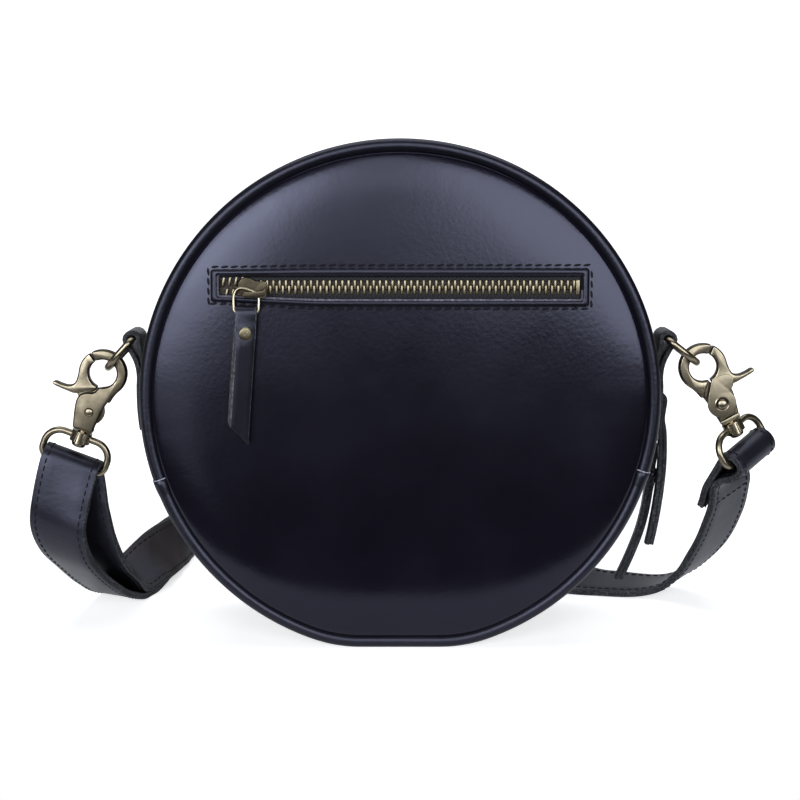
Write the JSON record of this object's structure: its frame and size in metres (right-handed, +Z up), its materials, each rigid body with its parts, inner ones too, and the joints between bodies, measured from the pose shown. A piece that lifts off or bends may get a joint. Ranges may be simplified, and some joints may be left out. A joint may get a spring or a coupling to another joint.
{
  "type": "round crossbody bag",
  "caption": "Round leather crossbody bag with piped edges, a zip pocket on its face, a zip round its side and a clip-on shoulder strap on swivel trigger hooks.",
  "frame": {"origin": "middle of the flattened base, on the floor", "axes": "+X to the right seen from the pocket side, +Y away from the pocket side, +Z up"},
  "size_m": [0.318, 0.204, 0.209],
  "materials": {
    "bag_leather": "smooth semi-gloss",
    "pull_leather": "smooth, raw edges",
    "strap_leather": "smooth, stitched",
    "zip_tape": "woven",
    "lining_fabric": "woven",
    "zip_metal": "antique",
    "antique_brass": "antique, worn edges"
  },
  "bodies": {
    "bag": {"pocket_panel": "bag_leather", "plain_panel_lower": "bag_leather", "lower_gusset": "bag_leather", "wide_zip_strip": "bag_leather", "narrow_strip_ends": "bag_leather", "pocket_piping_upper": "bag_leather", "pocket_piping_lower": "bag_leather", "plain_piping_lower": "bag_leather", "plain_piping_ends": "bag_leather", "main_tape_wide": "zip_tape", "narrow_tape_ends": "zip_tape", "main_teeth_wide": "zip_metal", "narrow_teeth_ends": "zip_metal", "main_zip_stops": "zip_metal", "lining": "lining_fabric", "pocket_welt": "bag_leather", "pocket_tape_upper": "zip_tape", "pocket_tape_lower": "zip_tape", "pocket_teeth_upper": "zip_metal", "pocket_teeth_lower": "zip_metal", "pocket_zip_stops": "zip_metal", "pocket_pouch": "lining_fabric", "left_tab": "bag_leather", "right_tab": "bag_leather"},
    "flap": {"flap_panel": "bag_leather", "flap_zip_strip": "bag_leather", "flap_piping": "bag_leather", "flap_tape": "zip_tape", "flap_teeth": "zip_metal", "flap_lining": "lining_fabric"},
    "upper_slider": {"upper_slider": "antique_brass"},
    "upper_thong": {"upper_thong": "pull_leather"},
    "lower_slider": {"lower_slider": "antique_brass"},
    "lower_thong": {"lower_thong": "pull_leather"},
    "pocket_slider": {"pocket_slider": "antique_brass"},
    "pocket_ring": {"pocket_pull_ring": "antique_brass"},
    "pocket_pull": {"pocket_pull_tab": "pull_leather", "pocket_pull_rivet": "antique_brass"},
    "left_d_ring": {"left_d_ring": "antique_brass"},
    "right_d_ring": {"right_d_ring": "antique_brass"},
    "strap": {"strap": "strap_leather", "strap_slide": "antique_brass", "left_strap_loop": "antique_brass", "right_strap_loop": "antique_brass"},
    "left_hook": {"left_hook_body": "antique_brass", "left_gate_rivet": "antique_brass"},
    "left_gate": {"left_hook_gate": "antique_brass", "left_gate_spring": "antique_brass"},
    "right_hook": {"right_hook_body": "antique_brass", "right_gate_rivet": "antique_brass"},
    "right_gate": {"right_hook_gate": "antique_brass", "right_gate_spring": "antique_brass"}
  },
  "joints": [
    {"name": "flap_open", "type": "hinge", "parent": "bag", "child": "flap", "pos_m": [0, 0.0385, 0.11408], "axis": [-1, 0, 0], "range_deg": [0, 70], "deforming": ["flap_teeth", "flap_tape"]},
    {"name": "upper_slider_run", "type": "hinge", "parent": "bag", "child": "upper_slider", "pos_m": [0, 0.013, 0.103], "axis": [0, -1, 0], "range_deg": [0, 197], "deforming": ["main_teeth_wide", "narrow_teeth_ends", "flap_teeth"]},
    {"name": "upper_thong_swing", "type": "hinge", "parent": "upper_slider", "child": "upper_thong", "pos_m": [0.1115, 0.013, 0.09716], "axis": [0, -1, 0], "range_deg": [-2, 18]},
    {"name": "lower_slider_run", "type": "hinge", "parent": "bag", "child": "lower_slider", "pos_m": [0, 0.013, 0.103], "axis": [0, -1, 0], "range_deg": [-0.9, 1.5], "deforming": ["main_teeth_wide", "narrow_teeth_ends", "flap_teeth"]},
    {"name": "lower_thong_swing", "type": "hinge", "parent": "lower_slider", "child": "lower_thong", "pos_m": [0.10833, 0.013, 0.07599], "axis": [0, -1, 0], "range_deg": [-18, 4]},
    {"name": "pocket_slider_run", "type": "slide", "parent": "bag", "child": "pocket_slider", "axis": [1, 0, 0], "range_m": [-0.005, 0.122], "deforming": ["pocket_teeth_upper", "pocket_teeth_lower"]},
    {"name": "pocket_ring_swing", "type": "hinge", "parent": "pocket_slider", "child": "pocket_ring", "pos_m": [-0.0588, -0.03965, 0.1503], "axis": [-1, 0, 0], "range_deg": [0, 120]},
    {"name": "pocket_pull_swing", "type": "hinge", "parent": "pocket_ring", "child": "pocket_pull", "pos_m": [-0.0588, -0.04135, 0.1408], "axis": [-1, 0, 0], "range_deg": [0, 60]},
    {"name": "left_d_ring_swing", "type": "hinge", "parent": "bag", "child": "left_d_ring", "pos_m": [-0.11151, -0.008, 0.1267], "axis": [0, 1, 0], "range_deg": [-4, 4]},
    {"name": "right_d_ring_swing", "type": "hinge", "parent": "bag", "child": "right_d_ring", "pos_m": [0.11151, -0.008, 0.1267], "axis": [0, 1, 0], "range_deg": [-4, 4]},
    {"name": "strap_lift", "type": "hinge", "parent": "bag", "child": "strap", "pos_m": [-0.12293, -0.008, 0.11424], "axis": [1, 0, 0.0088], "range_deg": [0, 15]},
    {"name": "left_hook_swivel", "type": "hinge", "parent": "strap", "child": "left_hook", "pos_m": [-0.13719, -0.008, 0.08034], "axis": [0.3551, 0, 0.9348], "range_deg": [-8, 8]},
    {"name": "left_gate_open", "type": "hinge", "parent": "left_hook", "child": "left_gate", "pos_m": [-0.13151, -0.008, 0.0953], "axis": [0, -1, 0], "range_deg": [0, 25], "stiffness_Nm_per_rad": 0.02},
    {"name": "right_hook_swivel", "type": "hinge", "parent": "strap", "child": "right_hook", "pos_m": [0.14368, -0.008, 0.08484], "axis": [-0.4772, 0, 0.8788], "range_deg": [-8, 8]},
    {"name": "right_gate_open", "type": "hinge", "parent": "right_hook", "child": "right_gate", "pos_m": [0.13604, -0.008, 0.0989], "axis": [0, 1, 0], "range_deg": [0, 25], "stiffness_Nm_per_rad": 0.02}
  ]
}
